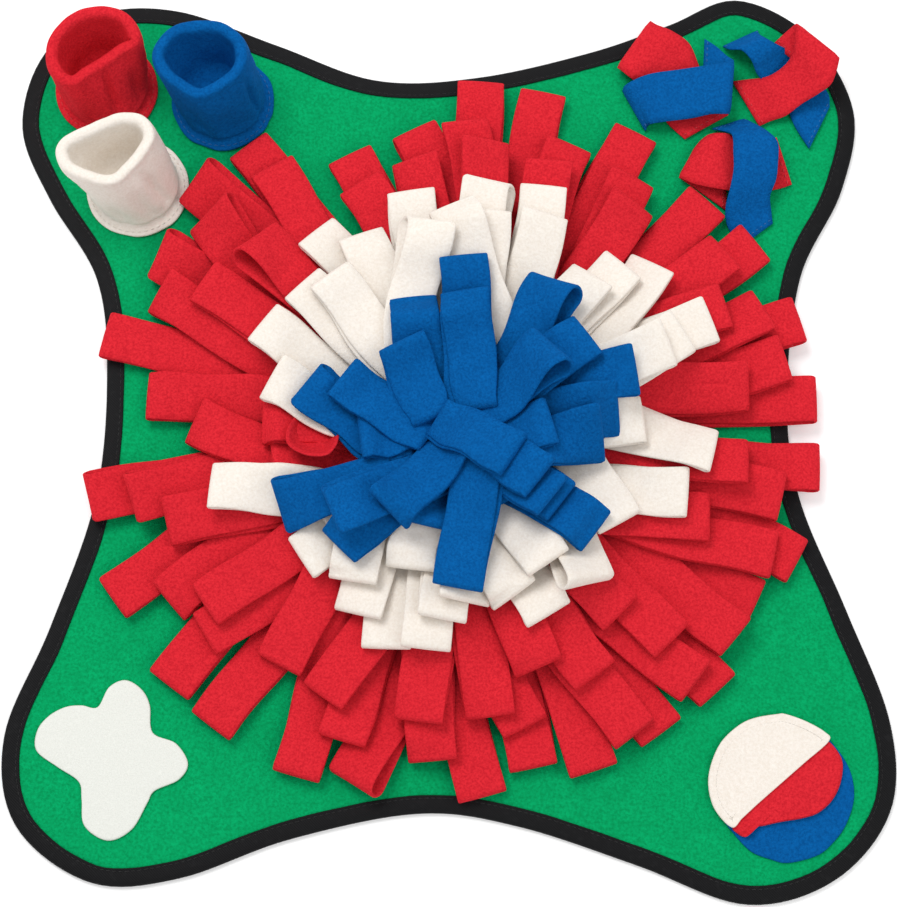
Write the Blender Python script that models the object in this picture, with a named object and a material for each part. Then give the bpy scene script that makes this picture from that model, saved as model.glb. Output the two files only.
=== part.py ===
"""Snuffle mat: a four-lobed fleece mat with a bound edge, a rosette of folded fleece strips, three
fleece cups, three crossed ties, a bone-shaped patch and a round pocket. Metres, +Z up. The origin is
on the floor under the middle of the mat, and +Y is the side with the cups and the ties."""

import math

import bmesh
import bpy
from mathutils import Vector

MM = 0.001
CLEAR = 0.3  # mm between pieces that touch

# The mat, in mm
PANEL_THICK = 3.0
BINDING_WIDTH = 10.0
BINDING_THICK = 0.9
PANEL_MARGIN_LIFT = BINDING_THICK + CLEAR
MAT_TOP = PANEL_THICK + CLEAR
OUTLINE_STEPS = 2

# Outer edge of the mat, one row for each change of curve, clockwise from the cup lobe
OUTLINE = (
    # x, y
    (-250, 184), (-240, 229), (-208, 256), (-160, 258),  # lobe with the cups
    (-100, 236), (-41, 214), (20, 216), (87, 232),
    (133, 249), (174, 265), (217, 242), (241, 195), (232, 145),  # lobe with the ties
    (206, 92), (196, 20), (201, -38), (225, -102),
    (247, -165), (245, -214), (213, -251), (164, -264),  # lobe with the pocket
    (105, -243), (40, -222), (-15, -215), (-86, -229),
    (-146, -250), (-195, -252), (-237, -221), (-245, -172),  # lobe with the bone
    (-222, -112), (-199, -38), (-195, 35), (-203, 92), (-232, 140),
)

# The rosette, in mm and degrees
ROSETTE = (2.5, -4.5)
CLOTH = 2.0
FOLD_GAP = 1.0
STRIP_WIDTH = 27.0
FIRST_HEIGHT = 6.5  # underside of the lowest course, clear of the binding that it hangs over
COURSE_PITCH = 6.9
ROOT_WIDTH = 9.0
ROOT_SEGMENTS = 18

# One row for each sewn course, from the lowest up. A strip is its direction from the middle of the
# rosette and how far its fold reaches.
COURSES = (
    # name, cloth, root radius, strips (azimuth, reach)
    ("red_course_1", "red", 110,
     ((6, 209), (19, 212), (33, 212), (43, 206), (59, 213), (75, 215), (85, 215), (124, 211), (133, 212),
      (146, 199), (163, 209), (189, 210), (206, 210), (222, 210), (231, 210), (246, 208), (256, 202),
      (275, 203), (284, 192), (293, 204), (305, 204), (316, 207), (331, 196), (340, 208), (355, 209))),
    ("red_course_2", "red", 96,
     ((13, 196), (22, 194), (34, 192), (55, 187), (68, 188), (87, 185), (96, 175), (109, 179), (123, 190),
      (136, 188), (153, 187), (172, 174), (191, 185), (211, 183), (220, 177), (251, 182), (267, 183),
      (284, 170), (301, 197), (314, 195), (324, 196), (339, 194), (349, 190))),
    ("red_course_3", "red", 82,
     ((9, 171), (25, 173), (52, 173), (70, 171), (83, 173), (97, 164), (109, 158), (138, 147), (148, 166),
      (177, 145), (198, 168), (216, 167), (234, 161), (245, 164), (264, 163), (278, 161), (300, 159),
      (316, 170), (341, 153), (354, 168))),
    ("white_course_1", "white", 69,
     ((23, 160), (40, 153), (69, 153), (80, 150), (99, 142), (123, 140), (150, 122), (194, 137),
      (254, 128), (264, 125), (297, 119), (344, 137), (355, 148))),
    ("white_course_2", "white", 58,
     ((22, 141), (44, 138), (66, 135), (80, 125), (114, 125), (135, 118), (164, 104), (222, 110),
      (244, 116), (268, 109), (309, 115), (330, 109))),
    ("white_course_3", "white", 47,
     ((2, 108), (20, 129), (47, 119), (89, 127), (128, 110), (238, 102), (275, 100), (290, 102))),
    ("blue_course_1", "blue", 36,
     ((16, 109), (58, 101), (85, 101), (162, 82), (205, 103), (246, 78), (322, 101))),
    ("blue_course_2", "blue", 25,
     ((4, 90), (31, 89), (45, 99), (106, 77), (218, 81), (320, 70))),
    ("blue_course_3", "blue", 14,
     ((29, 67), (83, 74), (121, 53), (156, 66), (238, 62), (273, 94), (322, 62), (354, 84))),
)
TOP_STRIP = (325, 42)  # the single strip over the middle: azimuth, reach
TOP_ROOT = 4.0

# The cups, in mm and degrees
CUP_HEIGHT = 55.0
CUP_SIDES = 14
CUPS = (
    # name, cloth, base x, base y, rim x, rim y, rim half length, rim half width, rim turn
    ("cup_red", "red", -200, 207, -200, 213, 31, 24, 34),
    ("cup_blue", "blue", -131, 199, -138, 206, 28, 23, 5),
    ("cup_white", "white", -180, 146, -189, 153, 30, 22, 20),
)
CUP_BASE_RADIUS = 30.0
CUP_PROFILE = (
    # height share, share of the way from base to rim, inwards from the edge
    (0.0, 0.0, 0.0), (0.04, 0.0, 0.0), (0.1, 0.1, 4.5), (0.5, 0.45, 4.0), (0.86, 0.9, 1.0),
    (0.96, 1.0, 0.0), (1.0, 1.0, 3.0), (0.95, 1.0, 7.0), (0.5, 0.45, 7.0), (0.0, 0.1, 7.5),
)

# The crossed ties: height is the middle of the cloth above the mat
TIE_WIDTH = 22.0
TIES = (
    # name, cloth, stations (x, y, height)
    ("tie_1_red", "red", ((117, 238, 14), (124, 226, 8), (130, 215, 1.4), (143, 191, 1.4), (148, 182, 5))),
    ("tie_1_blue", "blue", ((107, 189, 11), (116, 194, 7), (123, 197, 4.3), (151, 207, 4.3), (160, 209, 9),
                            (162, 216, 15), (154, 225, 18))),
    ("tie_2_blue", "blue", ((168, 239, 10), (177, 229, 6), (184, 221, 1.4), (201, 201, 1.4), (214, 183, 7))),
    ("tie_2_red", "red", ((175, 192, 2.4), (182, 201, 4.3), (202, 221, 4.3), (213, 228, 8), (223, 227, 15))),
    ("tie_3_red", "red", ((141, 158, 8), (153, 162, 4), (165, 164, 1.4), (194, 160, 1.4), (203, 158, 5))),
    ("tie_3_blue", "blue", ((165, 187, 12), (172, 180, 7), (177, 178, 4.3), (183, 146, 4.3), (179, 134, 9),
                            (172, 120, 15))),
)

# The bone patch: its edge, one row for each lobe and each notch between lobes
PATCH_THICK = 2.0
BONE = (
    # x, y
    (-177, -141), (-193, -157), (-211, -157), (-226, -170), (-222, -186), (-201, -198), (-199, -218),
    (-185, -230), (-167, -216), (-162, -204), (-145, -196), (-145, -181), (-162, -172), (-164, -152),
)

# The round pocket
POCKET = (186, -202)
POCKET_RADIUS = 41.0
POCKET_SEGMENTS = 28
POCKET_TURN = 40.5  # degrees from +X to the straight edge of the white half
POCKET_EDGE = 3.5  # how far that edge lies from the middle of the disc
FLAP_HALF_LENGTH = 35.0
FLAP_DEPTH = 28.0
FLAP_RISE = 4.0

COLOURS = {
    # cloth: red, green, blue, roughness
    "green": (0.005, 0.33, 0.11, 0.95),
    "black": (0.011, 0.011, 0.012, 0.6),
    "red": (0.66, 0.022, 0.03, 0.95),
    "white": (0.9, 0.87, 0.78, 0.9),
    "blue": (0.008, 0.12, 0.45, 0.95),
}


def collection_for_parts():
    for old in list(bpy.data.objects):
        bpy.data.objects.remove(old)
    parts = bpy.data.collections.new("snuffle_mat")
    bpy.context.scene.collection.children.link(parts)
    return parts


def fleece(name, cloth):
    red, green, blue, roughness = COLOURS[cloth]
    made = bpy.data.materials.new(name + "_cloth")
    made.use_nodes = True
    shader = made.node_tree.nodes["Principled BSDF"]
    shader.inputs["Base Color"].default_value = (red, green, blue, 1.0)
    shader.inputs["Roughness"].default_value = roughness
    shader.inputs["Metallic"].default_value = 0.0
    return made


def add_piece(name, cloth, shape, parts):
    """Links a bmesh given in mm as a named object, with its faces turned outwards."""
    bmesh.ops.recalc_face_normals(shape, faces=shape.faces)
    bmesh.ops.scale(shape, vec=(MM, MM, MM), verts=shape.verts)
    mesh = bpy.data.meshes.new(name)
    shape.to_mesh(mesh)
    shape.free()
    mesh.shade_smooth()
    mesh.set_sharp_from_angle(angle=math.radians(40))
    piece = bpy.data.objects.new(name, mesh)
    piece.data.materials.append(fleece(name, cloth))
    parts.objects.link(piece)
    return piece


def add_loft(shape, rings, wrapped=False):
    """Joins rings of equally many points. The ends are capped, or joined when wrapped."""
    rows = [[shape.verts.new(point) for point in ring] for ring in rings]
    pairs = list(zip(rows, rows[1:]))
    if wrapped:
        pairs.append((rows[-1], rows[0]))
    else:
        shape.faces.new(rows[0])
        shape.faces.new(rows[-1])
    for lower, upper in pairs:
        for i in range(len(lower)):
            j = (i + 1) % len(lower)
            shape.faces.new((lower[i], lower[j], upper[j], upper[i]))


def smooth_closed(points, steps):
    """A closed curve through the points, each span cut into equal steps."""
    found = []
    count = len(points)
    for i in range(count):
        before, start, end, after = (Vector(points[(i + k) % count]) for k in (-1, 0, 1, 2))
        leave = (end - before) / 2
        arrive = (after - start) / 2
        for step in range(steps):
            t = step / steps
            found.append(
                start * (2 * t**3 - 3 * t**2 + 1)
                + leave * (t**3 - 2 * t**2 + t)
                + end * (3 * t**2 - 2 * t**3)
                + arrive * (t**3 - t**2)
            )
    return found


def centred(outline):
    """The outline, moved so that its box is centred on the origin."""
    middle = Vector([
        (min(point[axis] for point in outline) + max(point[axis] for point in outline)) / 2 for axis in (0, 1)
    ])
    return [point - middle for point in outline]


def inset(outline, distance):
    """The clockwise outline, moved inwards."""
    moved = []
    for i, point in enumerate(outline):
        along = (outline[(i + 1) % len(outline)] - outline[i - 1]).normalized()
        moved.append(point + Vector((along.y, -along.x)) * distance)
    return moved


def at_height(outline, height):
    return [(point.x, point.y, height) for point in outline]


def make_panel(outline, parts):
    """The fleece panel, flat below, its margin lifted and pinched inside the binding."""
    covered = BINDING_WIDTH + 2 * CLEAR
    shape = bmesh.new()
    add_loft(shape, (
        at_height(inset(outline, covered + 1.0), 0.0),
        at_height(inset(outline, covered), PANEL_MARGIN_LIFT),
        at_height(inset(outline, 2.0), PANEL_MARGIN_LIFT),
        at_height(inset(outline, 2.0), PANEL_THICK),
    ))
    add_piece("mat_panel", "green", shape, parts)


def make_binding(outline, parts):
    """The tape folded round the edge of the panel, as one U section all the way round."""
    top = MAT_TOP + BINDING_THICK
    section = (
        # inwards from the edge, height
        (BINDING_WIDTH, 0.0), (0.0, 0.0), (0.0, top), (BINDING_WIDTH, top),
        (BINDING_WIDTH, MAT_TOP), (1.4, MAT_TOP), (1.4, BINDING_THICK), (BINDING_WIDTH, BINDING_THICK),
    )
    shape = bmesh.new()
    add_loft(shape, [at_height(inset(outline, inwards), height) for inwards, height in section], wrapped=True)
    add_piece("edge_binding", "black", shape, parts)


def strip_section(root, reach, height):
    """A folded strip from the side, as (radius, height) points: its outer face, then the slot between
    its layers. Both ends stand in the root ring, and the fold is at the reach."""
    half = CLOTH + FOLD_GAP / 2
    slot = FOLD_GAP / 2
    bottom = MAT_TOP + CLOTH / 2
    top = height + 2 * half
    return (
        (root + half, bottom), (root + half, height), (reach, height),
        (reach, top), (root - half, top), (root - half, bottom),
        (root - slot, bottom), (root - slot, top - CLOTH), (reach - CLOTH, top - CLOTH),
        (reach - CLOTH, height + CLOTH), (root + slot, height + CLOTH), (root + slot, bottom),
    )


def add_strip(shape, azimuth, room, root, reach, height):
    """One folded strip, gathered towards its root where its neighbours leave less than its width."""
    out = Vector((math.cos(math.radians(azimuth)), math.sin(math.radians(azimuth)), 0.0))
    side = Vector((-out.y, out.x, 0.0))
    middle = Vector((ROSETTE[0], ROSETTE[1], 0.0))
    rings = []
    for hand in (-1, 1):
        ring = []
        for radius, z in strip_section(root, reach, height):
            half_width = min(STRIP_WIDTH / 2, radius * math.sin(math.radians(room / 2)) - CLEAR)
            ring.append(middle + out * radius + side * hand * half_width + Vector((0.0, 0.0, z)))
        rings.append(ring)
    add_loft(shape, rings)


def root_ring(radius):
    """The line of stitching that a course's strips stand in, as a flat ring of their gathered ends."""
    ring = bmesh.new()
    inner = radius - ROOT_WIDTH / 2
    outer = radius + ROOT_WIDTH / 2
    rings = []
    for step in range(ROOT_SEGMENTS):
        turn = 2 * math.pi * step / ROOT_SEGMENTS
        rings.append([
            (ROSETTE[0] + r * math.cos(turn), ROSETTE[1] + r * math.sin(turn), z)
            for r, z in ((inner, MAT_TOP), (outer, MAT_TOP), (outer, MAT_TOP + CLOTH), (inner, MAT_TOP + CLOTH))
        ])
    add_loft(ring, rings, wrapped=True)
    return ring


def join(piece, other):
    """A Boolean union of the two, left as one mesh in the first."""
    union = piece.modifiers.new("join", "BOOLEAN")
    union.operation = "UNION"
    union.object = other
    bpy.context.view_layer.update()
    graph = bpy.context.evaluated_depsgraph_get()
    joined = bpy.data.meshes.new_from_object(piece.evaluated_get(graph))
    piece.modifiers.clear()
    piece.data = joined
    bpy.data.objects.remove(other)


def neighbour_room(strips):
    """Degrees from each strip to its nearest neighbour in the course."""
    turns = [azimuth for azimuth, _ in strips]
    return [
        min((abs((turn - other + 180) % 360 - 180) for other in turns if other != turn))
        for turn in turns
    ]


def make_course(number, name, cloth, root, strips, parts):
    height = FIRST_HEIGHT + number * COURSE_PITCH
    fan = bmesh.new()
    for (azimuth, reach), room in zip(strips, neighbour_room(strips)):
        add_strip(fan, azimuth, room, root, reach, height)
    course = add_piece(name, cloth, fan, parts)
    join(course, add_piece(name + "_root", cloth, root_ring(root), parts))


def make_top_strip(parts):
    azimuth, reach = TOP_STRIP
    shape = bmesh.new()
    add_strip(shape, azimuth, 180, TOP_ROOT, reach, FIRST_HEIGHT + len(COURSES) * COURSE_PITCH)
    add_piece("blue_top_strip", "blue", shape, parts)


def make_cup(name, cloth, base, rim, half_length, half_width, turn, parts):
    """A fleece tube with a flared foot and a thick turned rim, open from the rim to the mat."""
    axis = Vector((math.cos(math.radians(turn)), math.sin(math.radians(turn)), 0.0))
    across = Vector((-axis.y, axis.x, 0.0))
    rings = []
    for share, blend, inwards in CUP_PROFILE:
        centre = Vector(base).lerp(Vector(rim), blend).to_3d()
        length = CUP_BASE_RADIUS + (half_length - CUP_BASE_RADIUS) * blend - inwards
        width = CUP_BASE_RADIUS + (half_width - CUP_BASE_RADIUS) * blend - inwards
        centre.z = MAT_TOP + share * CUP_HEIGHT
        rings.append([
            centre + axis * length * math.cos(angle) + across * width * math.sin(angle)
            for angle in (2 * math.pi * step / CUP_SIDES for step in range(CUP_SIDES))
        ])
    shape = bmesh.new()
    add_loft(shape, rings, wrapped=True)
    add_piece(name, cloth, shape, parts)


def make_tie(name, cloth, stations, parts):
    """A flat strip along its stations, square at its ends."""
    line = [Vector((x, y, MAT_TOP + height)) for x, y, height in stations]
    flat = (line[3] - line[1]).to_2d().normalized()
    rings = []
    for i, point in enumerate(line):
        along = (line[min(i + 1, len(line) - 1)] - line[max(i - 1, 0)]).normalized()
        side = Vector((-flat.y, flat.x, 0.0))
        side = (side - along * side.dot(along)).normalized() * TIE_WIDTH / 2
        up = along.cross(side).normalized() * CLOTH / 2
        rings.append((point - side - up, point + side - up, point + side + up, point - side + up))
    shape = bmesh.new()
    add_loft(shape, rings)
    add_piece(name, cloth, shape, parts)


def add_plate(shape, outline, height, thickness, rise=lambda point: 0.0):
    """A flat plate, or one whose height changes evenly across it."""
    add_loft(shape, [
        [(point.x, point.y, height + level + rise(point)) for point in outline]
        for level in (0.0, thickness)
    ])


def make_patch(parts):
    shape = bmesh.new()
    add_plate(shape, smooth_closed(BONE, 3), MAT_TOP, PATCH_THICK)
    add_piece("bone_patch", "white", shape, parts)


def make_pocket(parts):
    """A round base, a half disc sewn over one side and a shorter flap that lifts from the other."""
    middle = Vector(POCKET)
    turn = math.radians(POCKET_TURN)
    along = Vector((math.cos(turn), math.sin(turn)))
    out = Vector((along.y, -along.x))  # from the white half towards the flap
    disc = bmesh.new()
    bmesh.ops.create_cone(
        disc, cap_ends=True, segments=POCKET_SEGMENTS, depth=CLOTH,
        radius1=POCKET_RADIUS, radius2=POCKET_RADIUS,
    )
    bmesh.ops.translate(disc, vec=(middle.x, middle.y, MAT_TOP + CLOTH / 2), verts=disc.verts)
    add_piece("pocket_base", "blue", disc, parts)

    layer = MAT_TOP + CLOTH + CLEAR
    edge = middle - out * POCKET_EDGE
    first = math.asin(POCKET_EDGE / POCKET_RADIUS)
    steps = POCKET_SEGMENTS // 2
    half = bmesh.new()
    arc = [first + (math.pi - 2 * first) * step / steps for step in range(steps + 1)]
    add_plate(half, [
        middle + along * POCKET_RADIUS * math.cos(a) - out * POCKET_RADIUS * math.sin(a) for a in arc
    ], layer, CLOTH)
    add_piece("pocket_half", "white", half, parts)

    start = edge + out * 2 * CLEAR
    flap = bmesh.new()
    add_plate(flap, [
        start + along * FLAP_HALF_LENGTH * math.cos(math.pi * step / steps)
        + out * FLAP_DEPTH * math.sin(math.pi * step / steps)
        for step in range(steps + 1)
    ], layer, CLOTH, rise=lambda point: FLAP_RISE * (point - start).dot(out) / FLAP_DEPTH)
    add_piece("pocket_flap", "red", flap, parts)


def main():
    parts = collection_for_parts()
    outline = centred(smooth_closed(OUTLINE, OUTLINE_STEPS))
    make_panel(outline, parts)
    make_binding(outline, parts)
    for number, (name, cloth, root, strips) in enumerate(COURSES):
        make_course(number, name, cloth, root, strips, parts)
    make_top_strip(parts)
    for name, cloth, base_x, base_y, rim_x, rim_y, half_length, half_width, turn in CUPS:
        make_cup(name, cloth, (base_x, base_y), (rim_x, rim_y), half_length, half_width, turn, parts)
    for name, cloth, stations in TIES:
        make_tie(name, cloth, stations, parts)
    make_patch(parts)
    make_pocket(parts)


main()
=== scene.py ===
"""Looks of the snuffle mat: fleece strips laid on one another as a rosette, fleece cups, crossed ties, a
sewn patch and a pocket on a bound fleece mat. Metres, +Z up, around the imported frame."""

import math
import random

import bmesh
import bpy
import numpy as np
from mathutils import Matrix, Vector, noise


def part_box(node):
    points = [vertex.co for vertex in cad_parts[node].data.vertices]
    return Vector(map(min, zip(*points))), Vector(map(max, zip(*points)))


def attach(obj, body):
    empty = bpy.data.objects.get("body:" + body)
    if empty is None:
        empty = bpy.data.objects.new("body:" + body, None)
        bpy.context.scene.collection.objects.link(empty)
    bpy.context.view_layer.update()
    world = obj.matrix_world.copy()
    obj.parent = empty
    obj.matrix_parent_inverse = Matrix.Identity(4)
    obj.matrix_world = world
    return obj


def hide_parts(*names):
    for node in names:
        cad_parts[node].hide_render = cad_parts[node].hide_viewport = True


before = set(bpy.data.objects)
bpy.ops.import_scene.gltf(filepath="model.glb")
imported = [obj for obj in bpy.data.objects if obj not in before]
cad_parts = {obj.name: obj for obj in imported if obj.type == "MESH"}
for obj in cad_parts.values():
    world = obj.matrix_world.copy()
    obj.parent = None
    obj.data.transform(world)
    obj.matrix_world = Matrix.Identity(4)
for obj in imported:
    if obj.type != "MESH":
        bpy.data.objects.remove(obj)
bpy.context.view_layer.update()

MM = 0.001
MAT_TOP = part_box("mat_panel")[1][2]
BINDING_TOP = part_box("edge_binding")[1][2]

# -------- materials

SHEEN_ROUGHNESS = 0.45
CLUMP_SIZE = 2.6  # of a clump of the nap, in sizes of the nap
PATCH_SIZE = 0.011  # the faint larger patches, in metres
RIB_SCALE = 420.0
TAPE_RIB = (0.009, 0.009, 0.010)
TAPE_GROOVE = (0.004, 0.004, 0.0045)
# Painted sheen: the lighter colour of faint patches that stand in for the tape's satin shine
TAPE_PAINTED_SHEEN = (0.014, 0.014, 0.015)


class Nodes:
    """A material's node tree, with short calls for what the cloths share."""

    def __init__(self, name):
        self.material = bpy.data.materials.new(name)
        self.material.use_nodes = True
        self.tree = self.material.node_tree
        self.shader = self.tree.nodes["Principled BSDF"]
        self.where = self.add("ShaderNodeTexCoord").outputs["Object"]

    def add(self, kind, **settings):
        node = self.tree.nodes.new(kind)
        for key, value in settings.items():
            setattr(node, key, value)
        return node

    def link(self, start, end):
        self.tree.links.new(start, end)

    def put(self, node, values):
        for key, value in values.items():
            node.inputs[key].default_value = value

    def noise(self, size, detail=2.0, rough=0.5, distortion=0.0):
        """Noise whose features are about size metres across."""
        node = self.add("ShaderNodeTexNoise")
        self.link(self.where, node.inputs["Vector"])
        self.put(node, {"Scale": 1.0 / size, "Detail": detail, "Roughness": rough, "Distortion": distortion})
        return node.outputs["Fac"]

    def remap(self, value, low, high, to_low=0.0, to_high=1.0):
        node = self.add("ShaderNodeMapRange")
        self.link(value, node.inputs["Value"])
        self.put(node, {"From Min": low, "From Max": high, "To Min": to_low, "To Max": to_high})
        return node.outputs["Result"]

    def mix(self, factor, first, second):
        """Mixes two colours, each a tuple or a socket, by a socket that goes from 0 to 1."""
        node = self.add("ShaderNodeMix", data_type="RGBA")
        self.link(factor, node.inputs["Factor"])
        for socket, colour in ((node.inputs[6], first), (node.inputs[7], second)):  # its A and B for colours
            if isinstance(colour, tuple):
                socket.default_value = (*colour, 1.0)
            else:
                self.link(colour, socket)
        return node.outputs[2]

    def bump(self, height, strength, distance, below=None):
        node = self.add("ShaderNodeBump")
        self.put(node, {"Strength": strength, "Distance": distance})
        self.link(height, node.inputs["Height"])
        if below is not None:
            self.link(below, node.inputs["Normal"])
        return node.outputs["Normal"]

    def finish(self, colour, normal, roughness, specular, sheen=0.0, sheen_tint=(1.0, 1.0, 1.0)):
        self.link(colour, self.shader.inputs["Base Color"])
        self.link(normal, self.shader.inputs["Normal"])
        self.put(self.shader, {"Roughness": roughness, "Specular IOR Level": specular, "Sheen Weight": sheen,
                               "Sheen Roughness": SHEEN_ROUGHNESS, "Sheen Tint": (*sheen_tint, 1.0)})
        return self.material


def shade(colour, factor):
    return tuple(min(1.0, channel * factor) for channel in colour)


def fleece(name, colour, deep, nap, contrast, sheen):
    """Brushed fleece: a short nap that clumps, darker between the clumps and in faint larger patches."""
    nodes = Nodes(name)
    fine = nodes.noise(nap, detail=3.0, rough=0.65)
    clumps = nodes.noise(nap * CLUMP_SIZE, detail=2.0, rough=0.6, distortion=0.6)
    patches = nodes.noise(PATCH_SIZE, detail=2.0)
    body = nodes.mix(nodes.remap(fine, 0.35, 0.62), deep, colour)
    body = nodes.mix(nodes.remap(clumps, 0.56, 0.72, 0.0, 0.35 * contrast), body, shade(colour, 1.25))
    body = nodes.mix(nodes.remap(patches, 0.35, 0.7, 0.0, 0.3 * contrast), body, deep)
    normal = nodes.bump(clumps, 0.55 * contrast, 0.0012)
    normal = nodes.bump(fine, 0.6 * contrast, 0.0006, below=normal)
    return nodes.finish(body, normal, 0.95, 0.05, sheen, shade(colour, 1.3))


def tape(name):
    """Woven polyester tape: fine diagonal ribs, nearly black, with a little gloss, and faint lighter patches
    painted on as its satin sheen.
    """
    nodes = Nodes(name)
    ribs = nodes.add("ShaderNodeTexWave", wave_type="BANDS", bands_direction="DIAGONAL")
    nodes.link(nodes.where, ribs.inputs["Vector"])
    nodes.put(ribs, {"Scale": RIB_SCALE, "Distortion": 1.2})
    # faint lighter patches of painted sheen on the tape; the same noise also gives a slight bump
    sheen_patches = nodes.noise(0.004, detail=3.0)
    body = nodes.mix(nodes.remap(ribs.outputs["Fac"], 0.2, 0.9), TAPE_GROOVE, TAPE_RIB)
    body = nodes.mix(nodes.remap(sheen_patches, 0.55, 0.75, 0.0, 0.5), body, TAPE_PAINTED_SHEEN)
    normal = nodes.bump(ribs.outputs["Fac"], 0.35, 0.0003)
    normal = nodes.bump(sheen_patches, 0.3, 0.0006, below=normal)
    return nodes.finish(body, normal, 0.55, 0.1, 0.0)


def thread(name, colour):
    nodes = Nodes(name)
    twist = nodes.noise(0.0006, detail=1.0)
    body = nodes.mix(nodes.remap(twist, 0.3, 0.7), shade(colour, 0.75), colour)
    return nodes.finish(body, nodes.bump(twist, 0.5, 0.0002), 0.6, 0.3, 0.2)


# Each cloth: colour of its nap, colour between it, size of the nap in metres, contrast, sheen
FLEECES = {
    "red": ((0.70, 0.024, 0.036), (0.50, 0.012, 0.022), 0.0013, 0.6, 0.25),
    "blue": ((0.002, 0.108, 0.36), (0.001, 0.070, 0.250), 0.0014, 0.9, 0.25),
    "white": ((0.84, 0.785, 0.72), (0.775, 0.705, 0.625), 0.0015, 0.5, 0.25),
    "green": ((0.0015, 0.37, 0.125), (0.001, 0.25, 0.078), 0.0017, 1.0, 0.25),
    "patch": ((0.76, 0.77, 0.72), (0.70, 0.71, 0.66), 0.0009, 0.4, 0.1),
}
THREADS = {
    "black": (0.007, 0.007, 0.0075),
    "red": (0.70, 0.035, 0.046),
    "blue": (0.010, 0.135, 0.41),
    "white": (0.80, 0.75, 0.68),
}

MATERIALS = {cloth: fleece(f"fleece_{cloth}", *look) for cloth, look in FLEECES.items()}
MATERIALS["tape"] = tape("tape_black")
SLOTS = {cloth: f"{cloth}_fleece" for cloth in FLEECES}
SLOTS["tape"] = "binding_tape"
for thread_colour, shown in THREADS.items():
    MATERIALS[f"thread_{thread_colour}"] = thread(f"thread_{thread_colour}", shown)
    SLOTS[f"thread_{thread_colour}"] = SLOTS.get(thread_colour, "binding_tape")

# -------- meshes


def add_object(name, points, faces, cloth, replaces=()):
    """A smooth mesh object of the cloth, riding on the one body."""
    mesh = bpy.data.meshes.new(name)
    mesh.from_pydata([tuple(point) for point in points], [], [tuple(face) for face in faces])
    shape = bmesh.new()
    shape.from_mesh(mesh)
    bmesh.ops.recalc_face_normals(shape, faces=shape.faces)
    shape.to_mesh(mesh)
    shape.free()
    mesh.shade_smooth()
    made = bpy.data.objects.new(name, mesh)
    made.data.materials.append(MATERIALS[cloth])
    bpy.context.scene.collection.objects.link(made)
    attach(made, "root")
    if replaces:
        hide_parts(*replaces)
    return made


def grid_faces(rows, columns, start=0, wrapped=False, flip=False):
    """Quads over a grid of points numbered row by row."""
    k, j = np.meshgrid(np.arange(rows - 1), np.arange(columns if wrapped else columns - 1), indexing="ij")
    after = (j + 1) % columns
    corners = (k * columns + j, k * columns + after, (k + 1) * columns + after, (k + 1) * columns + j)
    quads = np.stack(corners, -1).reshape(-1, 4) + start
    return quads[:, ::-1] if flip else quads


def unit(vectors):
    return vectors / np.maximum(np.linalg.norm(vectors, axis=-1, keepdims=True), 1e-9)


def surface_normals(grid):
    along = np.gradient(grid, axis=0)
    across = np.gradient(grid, axis=1)
    return unit(np.cross(along, across))


EDGE_ROUNDING = 0.42  # thickness left at a cut edge, as a share of the cloth's


def thick_sheet(grid, thickness):
    """Closed points and faces of a cloth whose middle surface is the grid, thinner at its cut edges."""
    rows, columns, _ = grid.shape
    full = np.ones((rows, columns, 1))
    full[:, (0, -1)] = EDGE_ROUNDING
    full[(0, -1), :] = EDGE_ROUNDING
    offset = surface_normals(grid) * full * thickness / 2
    top = (grid + offset).reshape(-1, 3)
    bottom = (grid - offset).reshape(-1, 3)
    count = rows * columns
    faces = [grid_faces(rows, columns), grid_faces(rows, columns, start=count, flip=True)]
    rim = np.concatenate([
        np.arange(columns - 1),
        np.arange(rows - 1) * columns + columns - 1,
        (rows - 1) * columns + np.arange(columns - 1, 0, -1),
        np.arange(rows - 1, 0, -1) * columns,
    ])
    after = np.roll(rim, -1)
    faces.append(np.stack([after, rim, rim + count, after + count], -1))
    return np.concatenate([top, bottom]), np.concatenate(faces)


# -------- curves and outlines


def hermite(before, start, end, after, steps):
    """Points from each start to just before its end, on a curve that passes through all four."""
    t = (np.arange(steps) / steps)[None, :, None]
    before, start, end, after = (rows[:, None] for rows in (before, start, end, after))
    points = start * (2 * t**3 - 3 * t**2 + 1) + (end - before) / 2 * (t**3 - 2 * t**2 + t)
    points += end * (3 * t**2 - 2 * t**3) + (after - start) / 2 * (t**3 - t**2)
    return points.reshape(-1, points.shape[-1])


def closed_curve(rows, steps):
    rows = np.asarray(rows, float)
    return hermite(np.roll(rows, 1, 0), rows, np.roll(rows, -1, 0), np.roll(rows, -2, 0), steps)


def open_curve(rows, steps):
    rows = np.asarray(rows, float)
    longer = np.vstack([2 * rows[:1] - rows[1:2], rows, 2 * rows[-1:] - rows[-2:-1]])
    return np.vstack([hermite(longer[:-3], longer[1:-2], longer[2:-1], longer[3:], steps), rows[-1:]])


def even(points, count):
    """The closed curve as count points at equal distances."""
    closed = np.vstack([points, points[:1]])
    walked = np.concatenate([[0.0], np.cumsum(np.linalg.norm(np.diff(closed[:, :2], axis=0), axis=1))])
    where = np.linspace(0, walked[-1], count, endpoint=False)
    return np.stack([np.interp(where, walked, closed[:, axis]) for axis in range(closed.shape[1])], -1)


def raised(flat, height):
    """Points in plan at a height, which is one for all or one for each."""
    return np.column_stack([flat, np.broadcast_to(height, len(flat))])


def signed_area(points):
    """The area in a closed curve, above nought where it runs counterclockwise."""
    x, y = points[:, 0], points[:, 1]
    return float((x * np.roll(y, -1) - np.roll(x, -1) * y).sum()) / 2


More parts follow.
